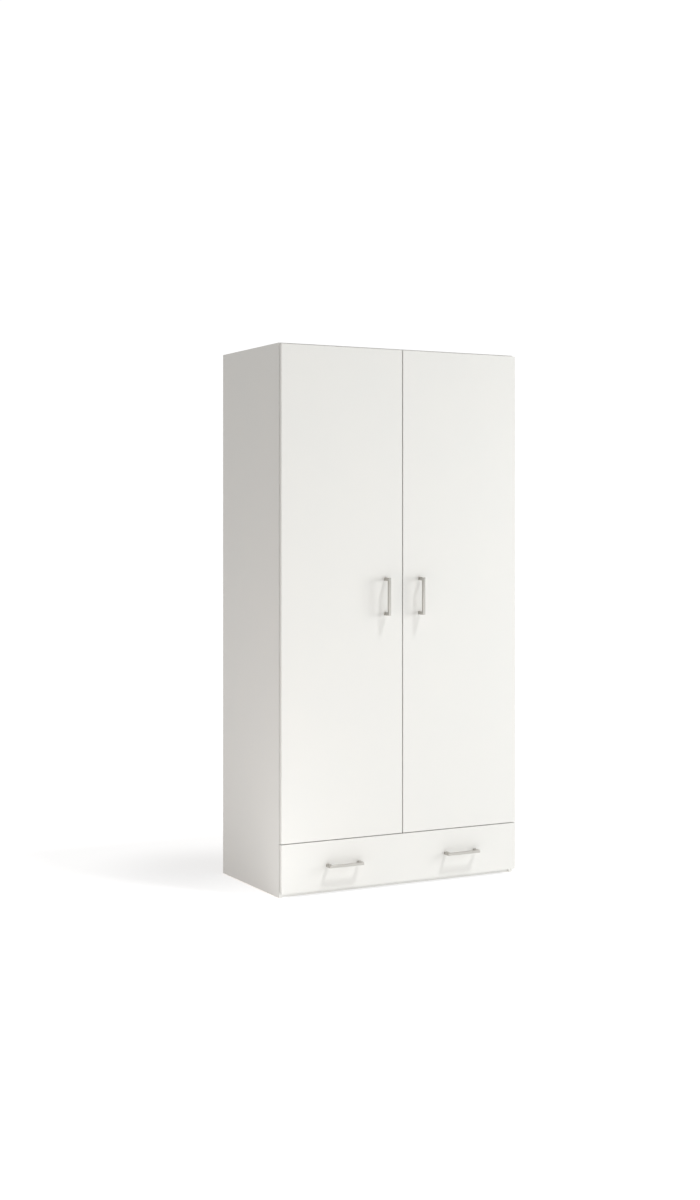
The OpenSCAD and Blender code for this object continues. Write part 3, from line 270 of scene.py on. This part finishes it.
def coated_or_moulded(name, dark, light, rough, grain, depth, **sockets):
    """Powder-coated steel or moulded plastic: one even colour with slow clouds, and a skin of
    orange peel or spark-eroded mould texture."""
    made, tree, shader, place = finish(name, IOR=1.5, Roughness=rough, **sockets)
    here = place.outputs["Object"]
    cloud = add(tree, "TexNoise", {"Vector": here, "Scale": 1 / (25 * mm), "Detail": 3})
    colour = add(tree, "Mix", {"Factor": cloud, 6: linear(dark), 7: linear(light)},
                 data_type="RGBA")
    skin = add(tree, "TexNoise", {"Vector": here, "Scale": 1 / grain, "Detail": 1})
    bump = add(tree, "Bump", {"Height": skin, "Strength": 0.4, "Distance": depth})
    feed(tree, shader, {"Base Color": colour, "Normal": bump})
    return made


def turned_beech():
    """Beech rod, turned and left bare: pale pink-brown with short dark flecks along the grain."""
    made, tree, shader, place = finish("turned_beech", IOR=1.5, Roughness=0.7)
    grain = streaks(tree, place.outputs["Object"], "X", 0.8 * mm, 12)
    wood = add(tree, "ValToRGB", {0: grain})
    wood.color_ramp.elements[0].position, wood.color_ramp.elements[1].position = 0.3, 0.55
    wood.color_ramp.elements[0].color = linear("#A9825A")
    wood.color_ramp.elements[1].color = linear("#D2B08A")
    bump = add(tree, "Bump", {"Height": grain, "Strength": 0.3, "Distance": 0.1 * mm})
    feed(tree, shader, {"Base Color": wood, "Normal": bump})
    return made


# ---------------------------------------------------------------- dressing the boards

for upright in both_sides("side_panel"):
    mark_board(upright, "X", raw_low=(0, 0, 1), raw_high=(0, 1, 0))
for between_sides in ("top_panel", "compartment_floor"):
    mark_board(between_sides, "Z", raw_low=(1, 0, 0), raw_high=(1, 1, 0))
mark_board("hat_shelf", "Z", raw_high=(0, 1, 0))
mark_board("plinth_front", "Y", raw_low=(1, 0, 0), raw_high=(1, 0, 1))
mark_board("plinth_rear", "Y", raw_low=(1, 0, 1), raw_high=(1, 0, 1))
for door_or_front in ("door_left", "door_right", "drawer_front"):
    mark_board(door_or_front, "Y")
for side in both_sides("drawer_side"):
    mark_board(side, "X", raw_low=(0, 1, 1), raw_high=(0, 1, 0))
mark_board("drawer_back", "Y", raw_low=(1, 0, 1), raw_high=(1, 0, 0))
# the hardboards: the face that lies at the back or below is the bare one
for panel in both_sides("back_panel"):
    mark_board(panel, "Y", raw_high=(0, 1, 0))
mark_board("drawer_bottom", "Z", raw_low=(0, 0, 1))

give(melamine_faced_board(), "top_panel", "compartment_floor", "hat_shelf", "plinth_front",
     "plinth_rear", "drawer_front", "drawer_back", *both_sides("side_panel", "door", "drawer_side"))
give(lacquered_hardboard(), "drawer_bottom", *both_sides("back_panel"))

# ---------------------------------------------------------------- dressing the fittings

give(satin_nickel("satin_nickel_upright", "Z"), *both_sides("door_handle"))
give(satin_nickel("satin_nickel_level", "X"), *both_sides("drawer_handle"))
give(chromed_tube(), "hanging_rail")
give(plated_metal("nickel_plated_steel", "#BDBBB6", "#CFCDC8",
                  smooth=0.22, rough=0.34, grain=0.7 * mm),
     "hinge_plates", "hinge_arms", "wall_brackets", "shelf_pins", *both_sides("hinge_cups"))
give(plated_metal("zinc_plated_screws", "#AEB4BA", "#CDCFCB",
                  smooth=0.3, rough=0.48, grain=0.5 * mm),
     "rail_socket_screws", "cam_bolts", "back_panel_nails", "wall_bracket_screws",
     "hinge_plate_screws", "hinge_arm_screws", "runner_screws", "drawer_handle_screws",
     "drawer_rail_screws", "drawer_cam_bolts", "drawer_back_screws",
     *both_sides("cup_screws", "handle_screws"))
give(plated_metal("die_cast_zinc", "#8A8C8E", "#A3A5A6",
                  smooth=0.45, rough=0.65, grain=0.6 * mm),
     "cam_nuts", "drawer_cam_nuts")
give(coated_or_moulded("white_epoxy_powder_coat", "#E4E5E4", "#E9E9E8",
                       rough=0.32, grain=1.4 * mm, depth=0.08 * mm),
     "drawer_stiffener", *both_sides("cabinet_rail", "drawer_rail"))
give(coated_or_moulded("white_moulded_plastic", "#E6E7E6", "#EBEBE9",
                       rough=0.45, grain=0.6 * mm, depth=0.04 * mm),
     "back_joint_strip", "rail_sockets", "floor_glides", "cabinet_rollers", "drawer_rollers")
give(coated_or_moulded("soft_clear_pads", "#C9CDCC", "#D8DBDA",
                       rough=0.2, grain=3 * mm, depth=0.05 * mm, Coat_Weight=0.4),
     "bumper_pads")
give(turned_beech(), "dowels")

WELD_REACH = 0.002 * mm  # corners closer than this are one corner
HARD_CORNER = radians(50)  # an edge that turns by more than this is broken


def soften_edges(name, width, segments):
    """The factory's broken edge on a hard-cornered piece, which catches a thin line of light."""
    piece = shown[name]
    weld = piece.modifiers.new("closed_corners", "WELD")
    weld.merge_threshold = WELD_REACH
    round_over = piece.modifiers.new("broken_edges", "BEVEL")
    round_over.width = width
    round_over.segments = segments
    round_over.limit_method = "ANGLE"
    round_over.angle_limit = HARD_CORNER
    round_over.harden_normals = True
    for polygon in piece.data.polygons:
        polygon.use_smooth = True


for handle in both_sides("door_handle", "drawer_handle"):
    soften_edges(handle, width=0.7 * mm, segments=3)

# ---------------------------------------------------------------- studio
#
# The strengths are those of the floor's own glow and of the surround: 1 is plain white.

SKY_LIGHT, SKY_SEEN = 0.21, 1.05  # the surround as a light on the wardrobe, and to the eye
# the second value is the share of the floor's glow left under the wardrobe, where shade is painted
TABLE_LIGHT, UNDER_PAINTED_SHADE = 0.9, 0.75  # the floor's glow, and the share left under the wardrobe
# painted shade on the floor left of the wardrobe: its centre, reach and depth
SHADE_PLACE, SHADE_REACH, SHADE_DEPTH = (-0.5, 0.37, 0), 0.6, 0.13
# painted patch of glow at the floor's left front corner, which also lights the boards: its centre,
# reach and strength
GLOW_PLACE, GLOW_REACH, GLOW_LIGHT = (-0.85, -0.62, 0), 0.65, 1.1
PATCH_HEART = 0.1  # metres from its centre that a patch of shade or glow holds its full strength
FLOOR_SIZE = 60


def patch(tree, here, centre, reach, inside, outside):
    """A round soft-edged patch of the floor: one value in its heart, and the other past reach."""
    away = add(tree, "VectorMath", {0: here, 1: centre}, operation="DISTANCE")
    return add(tree, "MapRange",
               {"Value": away, "From Min": PATCH_HEART, "From Max": reach,
                "To Min": inside, "To Max": outside}, interpolation_type="SMOOTHSTEP")


def studio_floor():
    """Light table: a matt pale sheet lit from below, so that only faint shadows show on it. A
    painted shade dims its glow left of the wardrobe and under it, and a painted patch of glow at
    its left front corner lifts the low parts of the boards."""
    made, tree, shader, place = finish("studio_floor", Roughness=0.9, Emission_Color=(1, 1, 1, 1))
    here = place.outputs["Object"]
    wash = add(tree, "TexNoise", {"Vector": here, "Scale": 1.5, "Detail": 2})
    sheet = add(tree, "Mix", {"Factor": wash, 6: linear("#9A9A9A"), 7: linear("#9E9E9E")},
                data_type="RGBA")
    # the even glow, with the painted shade left of the wardrobe taken out of it
    table = patch(tree, here, SHADE_PLACE, SHADE_REACH, TABLE_LIGHT - SHADE_DEPTH, TABLE_LIGHT)
    # the painted patch of glow at the left front corner
    corner = patch(tree, here, GLOW_PLACE, GLOW_REACH, GLOW_LIGHT, 0)
    glow = add(tree, "Math", {0: table, 1: corner}, operation="ADD")
    # painted shade under the wardrobe, which dims the glow there: outward is 1 along the edge of
    # its footprint, 0 in the middle
    footprint = (cad_box[1][0], -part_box("drawer_front")[0][1], 1)
    across = add(tree, "VectorMath", {0: here, 1: footprint}, operation="DIVIDE")
    either_side = add(tree, "VectorMath", {0: across}, operation="ABSOLUTE")
    parts = add(tree, "SeparateXYZ", {0: either_side}).outputs
    outward = add(tree, "Math", {0: parts[0], 1: parts[1]}, operation="MAXIMUM")
    clear = add(tree, "MapRange",
                {"Value": outward, "From Min": 0.9, "From Max": 1, "To Min": UNDER_PAINTED_SHADE},
                interpolation_type="SMOOTHSTEP")
    lit = add(tree, "Math", {0: glow, 1: clear}, operation="MULTIPLY")
    feed(tree, shader, {"Base Color": sheet, "Emission Strength": lit})
    bpy.ops.mesh.primitive_plane_add(size=FLOOR_SIZE)
    floor = bpy.context.object
    floor.name = "studio_floor"
    floor.data.materials.append(made)


def studio_sky():
    """Even white surround: plain white behind the wardrobe, and dimmer as a light on it."""
    world = bpy.data.worlds.new("studio_sky")
    bpy.context.scene.world = world
    world.use_nodes = True
    tree = world.node_tree
    tree.nodes.clear()
    seen = add(tree, "LightPath").outputs["Is Camera Ray"]
    strength = add(tree, "Mix", {"Factor": seen, 2: SKY_LIGHT, 3: SKY_SEEN}, data_type="FLOAT")
    tint = add(tree, "Mix", {"Factor": seen, 6: linear("#FFFAF6"), 7: linear("#FFFFFF")},
               data_type="RGBA")
    glow = add(tree, "Background", {"Color": tint, "Strength": strength})
    add(tree, "OutputWorld", {"Surface": glow})


def lamp(name, kind, place, aim, energy, colour="#FFFFFF", **settings):
    """A light at place, turned to aim, that isn't seen itself."""
    data = bpy.data.lights.new(name, kind)
    data.energy = energy
    data.color = linear(colour)[:3]
    for key, value in settings.items():
        setattr(data, key, value)
    made = bpy.data.objects.new(name, data)
    made.location = place
    made.rotation_euler = (Vector(aim) - Vector(place)).to_track_quat("-Z", "Y").to_euler()
    made.visible_camera = False
    bpy.context.scene.collection.objects.link(made)


studio_floor()
studio_sky()
# high and from the right: the handles' soft shadows fall down and to the left
lamp("key", "SUN", (3.5, -4.8, 11), (0, 0, 0), 1.2, angle=radians(8))
# wide and level, from the right: the right door is a little brighter than the left
lamp("right_softbox", "AREA", (4.6, -2.4, 1.4), (0.2, -0.2, 0.9), 100,
     shape="RECTANGLE", size=1.6, size_y=2.0)
# low and warm, from the left: the side panel is a little warmer than the doors
lamp("left_fill", "AREA", (-2.6, -1.4, 0.3), (-0.5, -0.1, 0.2), 4, "#FFC4A4",
     shape="RECTANGLE", size=1.0, size_y=0.5)
# wide and low, straight in front: it thins the shadows that the handles throw
lamp("front_softbox", "AREA", (0.2, -4.6, 0.75), (0, 0, 0.5), 17,
     shape="RECTANGLE", size=4, size_y=1.2)

# the camera looks level from the left front, and its shift moves the wardrobe in the frame
view = bpy.data.cameras.new("camera")
view.lens, view.sensor_width, view.sensor_fit = 50.53, 36, "AUTO"
view.shift_y = -0.0598
camera = bpy.data.objects.new("camera", view)
camera.location = (-3.1091, -5.6901, 1.3323)
camera.rotation_euler = (radians(90), 0, radians(-27.926))
bpy.context.scene.collection.objects.link(camera)
bpy.context.scene.camera = camera
bpy.context.scene.view_settings.view_transform = "Standard"
